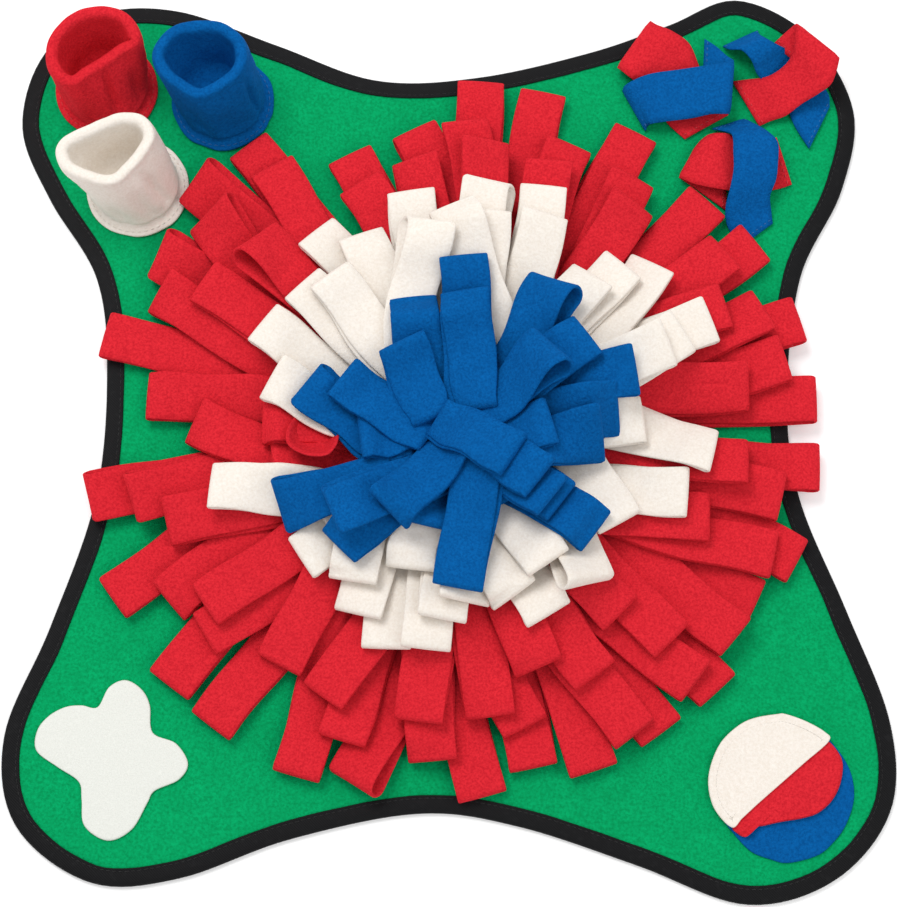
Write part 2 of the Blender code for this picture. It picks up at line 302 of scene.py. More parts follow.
def outward(points):
    """Unit directions in plan away from the inside of a closed curve that runs either way round."""
    along = np.roll(points, -1, 0) - np.roll(points, 1, 0)
    return unit(np.stack([along[:, 1], -along[:, 0]], -1)) * np.sign(signed_area(points))


def bell(values, middle, width):
    return np.exp(-(((values - middle) / width) ** 2))


def relief(points, size, seed):
    """Smooth noise from about -1 to 1 at each point, with bumps about size metres across."""
    flat = np.asarray(points).reshape(-1, np.shape(points)[-1])
    values = [noise.noise(Vector((x / size + seed, y / size, seed))) for x, y in flat[:, :2]]
    return np.array(values).reshape(np.shape(points)[:-1])


def lofted(rings, wrapped=False):
    """Closed points and faces through rings of equally many points, whose ends are capped or joined."""
    rows, columns, _ = rings.shape
    faces = [tuple(face) for face in grid_faces(rows + wrapped, columns, wrapped=True) % (rows * columns)]
    if not wrapped:
        faces.append(tuple(range(columns)))
        faces.append(tuple(range((rows - 1) * columns, rows * columns)))
    return rings.reshape(-1, 3), faces


STITCH_SIDES = 6
# Along a stitch: share of its length, share of its radius kept there, and its rise in radii
STITCH_SECTION = ((0.0, 0.35, -0.6), (0.18, 0.9, 0.1), (0.5, 1.0, 0.5), (0.82, 0.9, 0.1), (1.0, 0.35, -0.6))


def stitches(name, cloth, starts, ends, radius):
    """Short raised stitches between the given points, all one piece."""
    turns = np.linspace(0, 2 * math.pi, STITCH_SIDES, endpoint=False)
    points = []
    faces = []
    for start, end in zip(starts, ends):
        along = unit(end - start)
        side = unit(np.cross(along, (0.0, 0.0, 1.0)))
        up = np.cross(side, along)
        rings = []
        for share, size, rise in STITCH_SECTION:
            centre = start + (end - start) * share + np.array((0.0, 0.0, rise * radius))
            ring = np.cos(turns)[:, None] * side + np.sin(turns)[:, None] * up
            rings.append(centre + ring * radius * size)
        made, made_faces = lofted(np.array(rings))
        faces += [tuple(index + len(points) for index in face) for face in made_faces]
        points += list(made)
    return add_object(name, points, faces, cloth)


def sewn_row(name, cloth, line, length, height, radius, closed=True):
    """Stitches of one length that start at each point of a line in plan and point along it."""
    step = unit(np.roll(line, -1, 0) - line) * length
    if not closed:
        step[-1] = step[-2]
    return stitches(name, cloth, raised(line, height), raised(line + step, height), radius)


# -------- the mat and its binding

# Outer edge of the mat in mm, one row for each change of curve, clockwise from the cup lobe
OUTLINE = (
    (-250, 184), (-240, 229), (-208, 256), (-160, 258),  # lobe with the cups
    (-100, 236), (-41, 214), (20, 216), (87, 232),
    (133, 249), (174, 265), (217, 242), (241, 195), (232, 145),  # lobe with the ties
    (206, 92), (196, 20), (201, -38), (225, -102),
    (247, -165), (245, -214), (213, -251), (164, -264),  # lobe with the pocket
    (105, -243), (40, -222), (-15, -215), (-86, -229),
    (-146, -250), (-195, -252), (-237, -221), (-245, -172),  # lobe with the bone
    (-222, -112), (-199, -38), (-195, 35), (-203, 92), (-232, 140),
)
OUTLINE_STEPS = 10
EDGE_POINTS = 360
BINDING_WIDTH = 10.0 * MM
PANEL_RINGS = 46
PANEL_INSET = BINDING_WIDTH + 0.8 * MM  # where the panel's top comes out of the binding
PANEL_BRIM_INSET = 2.4 * MM  # where the panel ends inside the binding
PINCHED_TOP = 2.9 * MM
PINCHED_UNDER = 1.3 * MM
PANEL_PINCH = ((0.5, 3.15), (1.2, 2.85), (3.0, 2.9))  # out from where it goes in, and height, in mm
PANEL_CENTRE = 0.03  # the innermost ring, as a share of the way out
# The tape's section: inwards from the mat's edge and height, in mm, round its outside and back inside
TAPE_SECTION = (
    (9.9, 3.5), (10.0, 3.9), (9.6, 4.15), (8.4, 4.02), (6.0, 4.2), (3.6, 4.2), (1.7, 4.0), (0.6, 3.4),
    (0.05, 2.5), (0.1, 1.4), (0.7, 0.4), (1.8, 0.05), (5.0, 0.0), (8.5, 0.0), (9.8, 0.05), (10.0, 0.4),
    (9.8, 0.8), (6.0, 0.9), (2.4, 0.95), (1.5, 1.5), (1.4, 2.7), (2.1, 3.25), (5.0, 3.4), (8.0, 3.35),
)
TAPE_WAVER = 0.45  # mm that its inner side moves sideways
TAPE_PUCKER = 0.1  # mm that its top rises and falls, in short waves
TAPE_SWELL = 0.06  # and in long ones
BINDING_STITCH_INSET = 8.3 * MM
BINDING_STITCH_HEIGHT = 4.12 * MM
BINDING_STITCH_RADIUS = 0.22 * MM
BINDING_STITCH_LENGTH = 2.304 * MM
BINDING_STITCHES = 556


def mat_edge():
    curve = closed_curve(OUTLINE, OUTLINE_STEPS) * MM
    middle = (curve.min(0) + curve.max(0)) / 2
    return even(curve - middle, EDGE_POINTS)


def make_mat(edge):
    """The green panel: flat fleece that swells a little inside the binding, and is pinched within it."""
    away = outward(edge)
    brim = edge - away * PANEL_BRIM_INSET
    inner = edge - away * PANEL_INSET
    rings = []
    for share in np.linspace(PANEL_CENTRE, 1.0, PANEL_RINGS):
        flat = inner * share
        swell = 0.35 * relief(flat, 0.055, 3.0) + 0.16 * relief(flat, 0.017, 8.0) + 0.2 * share**6
        rings.append(raised(flat, MAT_TOP + swell * MM))
    rings += [raised(inner + away * out * MM, height * MM) for out, height in PANEL_PINCH]
    rings += [raised(brim, PINCHED_TOP), raised(brim, PINCHED_UNDER)]
    rings += [raised(inner + away * MM, PINCHED_UNDER)]
    rings += [raised(inner * share, 0.0) for share in (1.0, 0.66, 0.33, PANEL_CENTRE)]
    mat = add_object("mat_fleece", *lofted(np.array(rings)), "green", ["mat_panel"])


def make_binding(edge):
    """The tape folded round the edge, sewn with one row; its inner side wavers and its top puckers."""
    away = outward(edge)
    rings = []
    waver = relief(edge, 0.02, 5.0)
    pucker = relief(edge, 0.008, 9.0)
    for inset, height in closed_curve(TAPE_SECTION, 2):
        inner_share = min(1.0, max(0.0, (inset - 4.0) / 6.0))
        moved = edge - away * (inset + TAPE_WAVER * waver * inner_share)[:, None] * MM
        lifted = np.maximum(height + (TAPE_PUCKER * pucker + TAPE_SWELL * waver) * (height > 3.0), 0.0)
        rings.append(raised(moved, lifted * MM))
    tape_piece = add_object("binding_tape", *lofted(np.array(rings), wrapped=True), "tape", ["edge_binding"])
    line = even(edge - away * BINDING_STITCH_INSET, BINDING_STITCHES)
    sewn = sewn_row("binding_stitches", "thread_black", line, BINDING_STITCH_LENGTH, BINDING_STITCH_HEIGHT,
                    BINDING_STITCH_RADIUS)


# -------- the cups

# The rim of each cup as the line along its top, in mm, counterclockwise from the right
CUPS = (
    # name, cloth, base x, base y, direction from the base that the first row stands over in degrees, rim
    # (x, y, height), creases (place round the rim, depth in mm, width, from height, to height)
    ("cup_red", "red", -200, 207, 2, (
        (-177, 217, 54), (-179, 225, 57), (-186, 231, 58), (-196, 233, 58), (-207, 231, 58), (-216, 225, 57),
        (-222, 216, 56), (-223, 206, 55), (-219, 197, 53), (-212, 195, 50), (-205, 201, 47), (-195, 208, 46),
        (-185, 214, 49)),
     ((0.82, 3.4, 0.016, 0.2, 0.9), (0.93, 2.4, 0.03, 0.1, 0.7), (0.62, 2.2, 0.03, 0.3, 0.9),
      (0.72, 1.8, 0.03, 0.0, 0.5))),
    ("cup_blue", "blue", -131, 199, 2, (
        (-116, 208, 55), (-119, 218, 56), (-128, 224, 57), (-140, 225, 57), (-152, 223, 57), (-159, 217, 56),
        (-163, 208, 55), (-159, 199, 54), (-151, 193, 52), (-140, 187, 51), (-129, 191, 52), (-119, 198, 54)),
     ((0.93, 3.2, 0.014, 0.0, 0.85), (0.68, 2.2, 0.025, 0.0, 0.6), (0.80, 1.8, 0.04, 0.0, 0.6))),
    ("cup_white", "white", -180, 146, 22, (
        (-167, 161, 56), (-172, 168, 57), (-181, 169, 58), (-191, 166, 58), (-203, 161, 57), (-213, 156, 56),
        (-216, 150, 55), (-212, 142, 54), (-201, 137, 53), (-188, 135, 52), (-178, 142, 53), (-170, 152, 55)),
     ((0.85, 3.4, 0.02, 0.1, 0.85), (0.77, 2.0, 0.025, 0.0, 0.7), (0.66, 2.4, 0.03, 0.0, 0.5),
      (0.56, 2.2, 0.04, 0.3, 0.8))),
)
CUP_FOOT_RADIUS = 25.0 * MM
CUP_COLUMNS = 132
CUP_SECTION_STEPS = 3
# Round the cup's wall in section: share of the way in plan from foot to rim, outwards in mm, share of the
# rim's height, mm added to that, and how much of its width the tube keeps there
CUP_SECTION = (
    (0.0, 0.4, 0.0, 0.1, 1), (0.0, 4.2, 0.0, 0.1, 1), (0.0, 5.0, 0.0, 0.8, 1), (0.0, 4.8, 0.0, 2.0, 1),
    (0.0, 3.0, 0.0, 2.6, 1), (0.0, 1.0, 0.0, 3.0, 1), (0.02, -0.5, 0.02, 3.8, 1), (0.06, 0.4, 0.07, 4.0, 1),
    (0.16, 0.8, 0.18, 2.0, 1), (0.34, 1.8, 0.36, 0.0, 1), (0.54, 2.7, 0.54, 0.0, 1),
    (0.72, 3.4, 0.70, 0.0, 1), (0.86, 3.8, 0.81, 0.0, 1), (0.95, 4.0, 0.88, 0.0, 1),
    (1.0, 3.9, 0.93, 0.0, 1), (1.0, 3.4, 0.97, 0.0, 1),
    (1.0, 2.6, 1.0, 0.0, 1), (1.0, 0.8, 1.0, 0.7, 1), (1.0, -1.4, 1.0, 0.3, 1), (1.0, -2.9, 0.98, 0.0, 1),
    (1.0, -3.5, 0.94, 0.0, 1), (0.97, -3.3, 0.88, 0.0, 0.98), (0.92, -2.8, 0.8, 0.0, 0.93),
    (0.8, -2.6, 0.69, 0.0, 0.84), (0.62, -2.8, 0.54, 0.0, 0.74), (0.5, -2.8, 0.45, 0.0, 0.64),
    (0.44, -1.2, 0.41, 0.0, 0.34), (0.42, 0.0, 0.40, 0.0, 0.03), (0.42, 0.0, 0.38, -1.0, 0.03),
    (0.42, -1.2, 0.38, -1.5, 0.34), (0.4, -3.0, 0.36, -1.5, 0.68), (0.2, -3.4, 0.18, 0.0, 0.76),
    (0.0, -3.6, 0.02, 0.5, 0.92), (0.0, -3.2, 0.0, 0.1, 0.98),
)
CUP_OUTER_ROWS = 14  # rows of the section on the outside, from the foot up
CUP_BASE_LIFT = 0.3 * MM  # gap under the foot
CUP_FRILL = 0.7  # mm that the foot's edge moves in and out
CUP_WAVES = (0.9, 0.3)  # mm that the wall does, in long and in short waves
CUP_STITCHES = 46
CUP_STITCH_OUT = 2.6 * MM  # from the tube to the row of stitches on its foot
CUP_STITCH_HEIGHT = 3.2 * MM
CUP_STITCH_LENGTH = 2.2 * MM
CUP_STITCH_RADIUS = 0.25 * MM


def make_cup(name, cloth, x, y, start, rim_rows, creases):
    """A tube of fleece with a thick turned rim, pinched as its rim line says, and a flared cut foot."""
    rim = even(closed_curve(rim_rows, 10) * MM, CUP_COLUMNS)
    place = np.arange(CUP_COLUMNS) / CUP_COLUMNS
    turns = math.radians(start) + 2 * math.pi * place
    foot = np.array((x, y)) * MM + np.column_stack([np.cos(turns), np.sin(turns)]) * CUP_FOOT_RADIUS
    frill = relief(foot, 0.012, x)
    rings = []
    rows = [(*row, float(0 < k <= CUP_OUTER_ROWS)) for k, row in enumerate(CUP_SECTION)]
    for share, out, height, lift, kept, outer in closed_curve(rows, CUP_SECTION_STEPS):
        plan = foot * (1 - share) + rim[:, :2] * share
        plan = plan.mean(0) + (plan - plan.mean(0)) * kept
        offset = np.full(CUP_COLUMNS, out)
        for middle, depth, width, low, high in creases:
            apart = (place - middle + 0.5) % 1 - 0.5
            fade = math.sin(math.pi * min(1.0, max(0.0, (height - low + 0.05) / (high - low + 0.1))))
            offset -= depth * fade * min(1.0, max(0.0, outer)) * bell(apart, 0.0, width)
        offset += CUP_FRILL * frill * (1 - share) * (out > 1.0)
        z = MAT_TOP + CUP_BASE_LIFT + height * (rim[:, 2] - MAT_TOP) + lift * MM
        ring = plan + outward(plan) * offset[:, None] * MM
        soft = CUP_WAVES[0] * relief(plan, 0.02, x + height * 1.5)
        soft += CUP_WAVES[1] * relief(plan, 0.007, y + height * 6)
        ring += (soft * MM)[:, None] * outward(plan) * (height > 0.05)
        rings.append(raised(ring, z))
    cup = add_object(f"{name}_cloth", *lofted(np.array(rings), wrapped=True), cloth, [name])
    line = even(foot + outward(foot) * CUP_STITCH_OUT, CUP_STITCHES)
    sewn = sewn_row(f"{name}_stitches", f"thread_{cloth}", line, CUP_STITCH_LENGTH,
                    MAT_TOP + CUP_STITCH_HEIGHT, CUP_STITCH_RADIUS)


# -------- the crossed ties

# Each tie as the two sides of its cloth, station by station, in mm: (x, y, height), (x, y, height)
TIES = (
    ("tie_1_red", "red", (
        ((138, 235, 5), (120, 213, 5)), ((126, 246, 5), (106, 220, 5)), ((122, 248, 10), (102, 219, 9)),
        ((125, 244, 14), (104, 216, 12)), ((134, 239, 16), (109, 212, 11)), ((144, 232, 14), (116, 208, 7)),
        ((150, 220, 9), (123, 199, 5)), ((157, 206, 5), (131, 186, 5)), ((167, 191, 5), (141, 176, 5)))),
    ("tie_1_blue", "blue", (
        ((105, 206, 5), (118, 181, 5)), ((107, 208, 11), (119, 183, 8)), ((119, 212, 16), (123, 183, 13)),
        ((137, 215, 16), (143, 185, 15)), ((155, 217, 18), (155, 187, 17)), ((165, 218, 20), (162, 186, 20)),
        ((169, 220, 18), (166, 188, 16)), ((166, 225, 13), (163, 195, 12)), ((161, 232, 9), (157, 202, 9)),
        ((154, 238, 7), (152, 209, 7)))),
    ("tie_2_red", "red", (
        ((170, 212, 5), (185, 184, 5)), ((180, 213, 6), (192, 187, 6)), ((190, 213, 10), (200, 189, 9)),
        ((199, 218, 13), (209, 195, 12)), ((204, 224, 18), (219, 200, 17)), ((205, 233, 23), (226, 205, 22)),
        ((206, 240, 24), (230, 218, 24)), ((202, 239, 18), (228, 218, 18)),
        ((194, 233, 12), (218, 210, 12)))),
    ("tie_2_blue", "blue", (
        ((186, 244, 5), (165, 234, 5)), ((186, 238, 13), (168, 229, 13)), ((189, 233, 19), (174, 226, 19)),
        ((196, 230, 17), (180, 220, 17)), ((203, 229, 11), (184, 214, 11)), ((208, 226, 6), (191, 209, 6)),
        ((215, 219, 5), (199, 202, 5)), ((226, 205, 5), (206, 184, 5)), ((227, 196, 5), (214, 170, 5)))),
    ("tie_3_red", "red", (
        ((195, 177, 5), (203, 148, 5)), ((188, 175, 5), (194, 145, 5)), ((177, 173, 7), (180, 143, 7)),
        ((167, 176, 12), (166, 142, 12)), ((160, 176, 15), (155, 143, 14)), ((153, 175, 13), (145, 146, 12)),
        ((147, 169, 8), (137, 151, 8)), ((151, 161, 5), (143, 148, 5)), ((165, 152, 5), (164, 132, 5)))),
    ("tie_3_blue", "blue", (
        ((176, 188, 6), (157, 182, 6)), ((179, 184, 12), (164, 178, 12)), ((187, 176, 19), (167, 173, 19)),
        ((193, 168, 21), (167, 162, 21)), ((193, 157, 20), (167, 152, 20)), ((192, 147, 17), (165, 141, 17)),
        ((189, 139, 12), (163, 132, 12)), ((190, 132, 7), (164, 123, 7)), ((191, 124, 5), (171, 109, 5)))),
)
TIE_CLOTH = 2.0 * MM
TIE_COLUMNS = 9
TIE_STEPS = 6
TIE_STITCHES = 8  # across each end
TIE_STITCH_INSET = 2.4 * MM
TIE_STITCH_RADIUS = 0.3 * MM


def make_tie(name, cloth, stations):
    """A strip of fleece between its two sides, sewn down by a row of stitches across each end."""
    sides = open_curve([(*left, *right) for left, right in stations], TIE_STEPS) * MM
    share = np.linspace(0, 1, TIE_COLUMNS)[None, :, None]
    grid = sides[:, None, :3] * (1 - share) + sides[:, None, 3:] * share
    grid[..., 2] += 0.35 * MM * relief(grid, 0.012, grid[0, 0, 0] * 40)
    tie = add_object(f"{name}_strip", *thick_sheet(grid, TIE_CLOTH), cloth, [name])
    starts = []
    ends = []
    raised = np.array((0.0, 0.0, TIE_CLOTH / 2 + TIE_STITCH_RADIUS / 2))
    for end_row, next_row in ((0, 1), (-1, -2)):
        inwards = unit(grid[next_row, TIE_COLUMNS // 2] - grid[end_row, TIE_COLUMNS // 2])
        left = grid[end_row, 0] + inwards * TIE_STITCH_INSET
        right = grid[end_row, -1] + inwards * TIE_STITCH_INSET
        for k in range(TIE_STITCHES):
            starts.append(left + (right - left) * (k + 0.2) / TIE_STITCHES + raised)
            ends.append(left + (right - left) * (k + 0.75) / TIE_STITCHES + raised)
    sewn = stitches(f"{name}_stitches", f"thread_{cloth}", starts, ends, TIE_STITCH_RADIUS)


# -------- the bone patch and the pocket

# The patch's outline in mm, counterclockwise from its top
BONE = (
    (-178, -142), (-187, -146), (-193, -157), (-202, -156), (-211, -157), (-220, -162), (-226, -170),
    (-226, -181), (-214, -190), (-202, -198), (-200, -208), (-198, -222), (-185, -230), (-172, -224),
    (-164, -210), (-160, -203), (-147, -197), (-142, -188), (-149, -177), (-162, -171), (-164, -156),
    (-169, -147),
)
POCKET = np.array((186, -202)) * MM  # its middle, on the line between the half disc and the flap
POCKET_TURN = math.radians(40.5)  # of that line
# The pocket's pieces in mm: the round base, the half sewn down over it, and the loose flap
BASE_DISC = (
    (212, -174), (221, -186), (225, -197), (225, -209), (220, -222), (213, -231), (204, -238), (188, -242),
    (178, -240), (168, -236), (160, -228), (150, -214), (147, -200), (149, -188), (155, -176), (165, -167),
    (177, -163), (190, -163), (202, -167),
)
HALF_DISC = (
    (212, -176), (210, -171), (200, -165), (189, -161), (184, -161), (172, -163), (163, -167), (153, -176),
    (147, -188), (145, -200), (148, -213), (157, -223), (163, -218), (172, -210), (185, -199), (198, -188),
)
FLAP = (
    (212, -176), (219, -186), (218, -198), (213, -208), (205, -215), (196, -218), (184, -220), (175, -222),
    (170, -223), (165, -228), (160, -226), (158, -222), (166, -212), (184, -197), (200, -183), (207, -178),
)
# A flat piece's rings as shares of the way out: those of full thickness, and then with what is left of it
FULL_RINGS = (0.04, 0.2, 0.36, 0.5, 0.62, 0.72, 0.8, 0.86, 0.905, 0.94)
ROUNDED_RINGS = ((0.965, 0.93), (0.985, 0.93), (1.0, 0.62))
FLAT_WAVES = 0.12  # mm that its top rises and falls
FLAT_STEPS = 8
LAID_GAP = 0.2 * MM  # between a flat piece and the mat
PATCH_THICK = 1.9 * MM
PATCH_SWELL = 0.25
BASE_THICK = 1.8 * MM
FLAP_THICK = 1.8 * MM
FLAP_LIFT = 2.2 * MM  # from under the base disc to under the flap
FLAP_SWELL = 1.6
HALF_THICK = 1.7 * MM
HALF_LIFT = 2.1 * MM
HALF_DOME = 2.3  # mm that the half disc stands up along the line
HALF_DOME_WIDTH = 26  # mm from the line to where it lies flat
SEAM_INSET = 4.4 * MM
SEAM_STITCHES = 86  # in a full turn
SEAM_FROM = 0.02  # share of the way round where the seam starts
SEAM_TO = 0.64
SEAM_STITCH_LENGTH = 2.1 * MM
SEAM_STITCH_RADIUS = 0.22 * MM


def flat_piece(name, cloth, rows, low, thickness, replaced, swell):
    """A cut flat piece with soft edges, swelling over its middle by what the function swell gives in mm for
    each point and its share of the way to the edge. Returns the object and its edge."""
    edge = closed_curve(rows, FLAT_STEPS) * MM
    middle = edge.mean(0)
    rings = []
    for share, left in (*((share, 1.0) for share in FULL_RINGS), *ROUNDED_RINGS):
        flat = middle + (edge - middle) * share
        z = low + thickness * left + (swell(flat, share) + FLAT_WAVES * relief(flat, 0.013, 4.0)) * MM
        rings.append(raised(flat, z))
    for share in (1.0, 0.96, 0.6, 0.04):
        flat = middle + (edge - middle) * share
        lift = swell(flat, share) * MM + (0.3 * thickness if share == 1.0 else 0.0)
        rings.append(raised(flat, low + lift))
    return add_object(name, *lofted(np.array(rings)), cloth, [replaced]), edge


def make_patch():
    piece, edge = flat_piece("bone_patch_cloth", "patch", BONE, MAT_TOP + LAID_GAP, PATCH_THICK, "bone_patch",
                             lambda flat, share: PATCH_SWELL * (1 - share**4))


def make_pocket():
    """A round base, a loose flap with puckers at its left end, and beside it a domed half disc, sewn down."""
    low = MAT_TOP + LAID_GAP
    piece, edge = flat_piece("pocket_base_cloth", "blue", BASE_DISC, low, BASE_THICK, "pocket_base",
                             lambda flat, share: 0.0)

    across = np.array((-math.sin(POCKET_TURN), math.cos(POCKET_TURN)))
    along = np.array((across[1], -across[0]))

    def flap_swell(flat, share):
        from_line = -((flat - POCKET) @ across) / MM
        end = ((flat - POCKET) @ along) / MM
        rolled = 0.9 * bell(share, 0.93, 0.05) * (from_line > 6)
        puckers = 2.0 * bell(end, -30, 5.0) * bell(from_line, 7.5, 1.7)
        puckers += 1.6 * bell(end, -31, 6.0) * bell(from_line, 2.0, 1.5)
        return FLAP_SWELL * (1 - share**3) * np.clip(from_line / 10, 0, 1) + rolled + puckers

    piece, edge = flat_piece("pocket_flap_cloth", "red", FLAP, low + FLAP_LIFT, FLAP_THICK, "pocket_flap",
                             flap_swell)

    def half_swell(flat, share):
        from_line = ((flat - POCKET) @ across) / MM
        groove = 0.55 * bell(share, 0.885, 0.022) * (from_line > 1)
        return HALF_DOME * np.clip(1 - from_line / HALF_DOME_WIDTH, 0, 1) + 0.5 * (1 - share**3) - groove

    piece, edge = flat_piece("pocket_half_cloth", "white", HALF_DISC, low + HALF_LIFT, HALF_THICK,
                             "pocket_half", half_swell)
    seam = even(edge - outward(edge) * SEAM_INSET, SEAM_STITCHES)
    line = seam[int(SEAM_FROM * SEAM_STITCHES):int(SEAM_TO * SEAM_STITCHES)]
    dome = HALF_DOME * np.clip(1 - ((line - POCKET) @ across) / MM / HALF_DOME_WIDTH, 0, 1)
    sewn = sewn_row("pocket_stitches", "thread_white", line, SEAM_STITCH_LENGTH,
                    low + HALF_LIFT + HALF_THICK + dome * MM, SEAM_STITCH_RADIUS, closed=False)


# -------- the rosette

ROSETTE = np.array((2.5, -4.5)) * MM
SEED = 7
CLOTH = 2.0 * MM
STRIP_WIDTH = 27.0 * MM
ACROSS = np.array((-1.0, -0.95, -0.7, -0.35, 0.0, 0.35, 0.7, 0.95, 1.0))
STATIONS = 26
FOLD_STEPS = 7
SETTLE_STEPS = 24
STIFFNESS = 0.75  # how far a strip spans the hollows under it
FOLD_REACH = 3.0  # mm that the round of the fold adds to a strip's length
FOLD_ROUNDNESS = 0.9
LIFT = 1.4  # mm that a fold stands up
WANDER = 0.8  # mm that a strip bends sideways at most
SLIP = 5.0  # mm that the lower layer has slipped sideways at its root at most
UNEVEN = 0.6  # mm that a strip waves up and down at most
ROOT_WIDTH = 0.8  # share of its width that a strip keeps where it is gathered at its root
REST_GAP = 0.2 * MM  # between a strip and what it lies on
LAYER_GAP = 0.4  # mm between the two layers where they lie close
BULGE = 0.5 * MM  # of the upper layer's middle
DRAWN_BACK = 0.85  # of the height of an opening that its upper layer is drawn sideways
PRESSED = 0.42  # thickness that a strip keeps in the middle of the pile, where others lie on it
PRESSED_FROM = 35 * MM  # from the rosette's middle, where that ends
PRESSED_TO = 70 * MM  # and where strips keep all their thickness
LOOP_HOLLOW = 0.45  # where the opened loop is deepest, back from its tip, as a share of its length
LOOP_FLOOR = 0.08  # size of its flat middle, as a share of its rim's
LOOP_DEPTH = 13.0 * MM
LOOP_STANDS = 5.0 * MM  # how far its rim stands above the strips round it
LOOP_ENDS_SUNK = 13.0 * MM  # how far its two ends go down between the strips
LOOP_STEPS = 6
# Along the loop and across it, as shares of its length and of half its width
LOOP_SHAPE = (
    (0.0, -0.8), (0.3, -0.95), (0.62, -0.98), (0.88, -0.78), (1.0, -0.1), (0.93, 0.66), (0.68, 0.95),
    (0.34, 0.9), (0.0, 0.6),
)


class Pile:
    """The height of what has been laid so far, on a square grid over the mat."""

    HALF = 0.30  # metres from the mat's middle to the grid's side
    CELL = 0.0015
    ROWS_PER_STATION = 4
    COLUMNS = 40

    def __init__(self, ground):
        count = int(2 * self.HALF / self.CELL)
        self.heights = np.full((count, count), ground)

    def index(self, points):
        cells = ((points[..., :2] + self.HALF) / self.CELL).astype(int)
        return np.clip(cells, 0, len(self.heights) - 1)

    def under(self, points):
        cells = self.index(points)
        return self.heights[cells[..., 0], cells[..., 1]]

    def cover(self, grid):
        """Raises the pile to the given surface."""
        rows = np.linspace(0, len(grid) - 1, len(grid) * self.ROWS_PER_STATION)
        columns = np.linspace(0, grid.shape[1] - 1, self.COLUMNS)
        low_row = np.minimum(rows.astype(int), len(grid) - 2)
        low_column = np.minimum(columns.astype(int), grid.shape[1] - 2)
        f = (rows - low_row)[:, None, None]
        g = (columns - low_column)[None, :, None]
        here, after = grid[low_row], grid[low_row + 1]
        here = (1 - g) * here[:, low_column] + g * here[:, low_column + 1]
        after = (1 - g) * after[:, low_column] + g * after[:, low_column + 1]
        dense = (1 - f) * here + f * after
        cells = self.index(dense)
        np.maximum.at(self.heights, (cells[..., 0], cells[..., 1]), dense[..., 2])


def smooth_along(heights):
    """One smoothing step along the strip, its ends carried on straight."""
    before = np.vstack([2 * heights[:1] - heights[1:2], heights[:-1]])
    after = np.vstack([heights[1:], 2 * heights[-1:] - heights[-2:-1]])
    return (before + 2 * heights + after) / 4


def stiffen_across(heights, share):
    """Draws each cross-section towards a straight line: folded fleece bends little across its width."""
    middle = heights.mean(axis=1, keepdims=True)
    slope = (heights * ACROSS).sum(axis=1, keepdims=True) / (ACROSS**2).sum()
    return heights + share * (middle + slope * ACROSS - heights)


def bridged(heights):
    """The lowest line over the heights along each column that has no hollows, as stiff cloth spans them."""
    spanned = heights.copy()
    stations = np.arange(len(heights))
    for column in range(heights.shape[1]):
        corners = []
        for k, height in zip(stations, heights[:, column]):
            while len(corners) > 1:
                (first, low), (second, middle) = corners[-2:]
                if (middle - low) * (k - second) > (height - middle) * (second - first):
                    break
                corners.pop()
            corners.append((k, height))
        spanned[:, column] = np.interp(stations, *zip(*corners))
    return spanned


def settle(under):
    """The underside of a strip that rests on the heights given, station by station and across."""
    resting = under + STIFFNESS * (bridged(under) - under)
    for _ in range(SETTLE_STEPS):
        resting = np.maximum(stiffen_across(smooth_along(resting), 0.5), under)
    resting = smooth_along(smooth_along(stiffen_across(resting, 0.85)))
    buried = np.maximum(under - resting, 0).max(axis=1, keepdims=True)
    return resting + 0.6 * smooth_along(smooth_along(buried))


def toward(azimuth):
    """The unit direction in plan, from its angle in degrees."""
    return np.array((math.cos(math.radians(azimuth)), math.sin(math.radians(azimuth))))


def ease(values, start, end):
    share = np.clip((values - start) / (end - start), 0, 1)
    return share * share * (3 - 2 * share)


def fold_round(lower, upper, out):
    """The round of a fold, from the end of its lower layer to the end of its upper one."""
    turns = np.linspace(-math.pi / 2, math.pi / 2, FOLD_STEPS + 2)[1:-1]
    radius = (upper[-1, :, 2] - lower[-1, :, 2]) / 2
    fold = lower[-1] + ((1 + np.sin(turns)) / 2)[:, None, None] * (upper[-1] - lower[-1])
    fold[..., :2] += out * (np.cos(turns)[:, None] * radius * FOLD_ROUNDNESS)[..., None]
    return fold


def lay_down(pile, lower, upper, fold):
    """Raises the pile to a strip's two layers, pressed near the rosette's middle, and to its fold."""
    bottom = lower[..., 2] - CLOTH / 2
    from_middle = np.linalg.norm(lower[..., :2] - ROSETTE, axis=-1)
    kept = PRESSED + (1 - PRESSED) * ease(from_middle, PRESSED_FROM, PRESSED_TO)
    for layer in (lower, upper):
        top = bottom + (layer[..., 2] + CLOTH / 2 - bottom) * kept
        pile.cover(np.concatenate([layer[..., :2], top[..., None]], axis=-1))
    pile.cover(fold + np.array((0, 0, CLOTH / 2)))


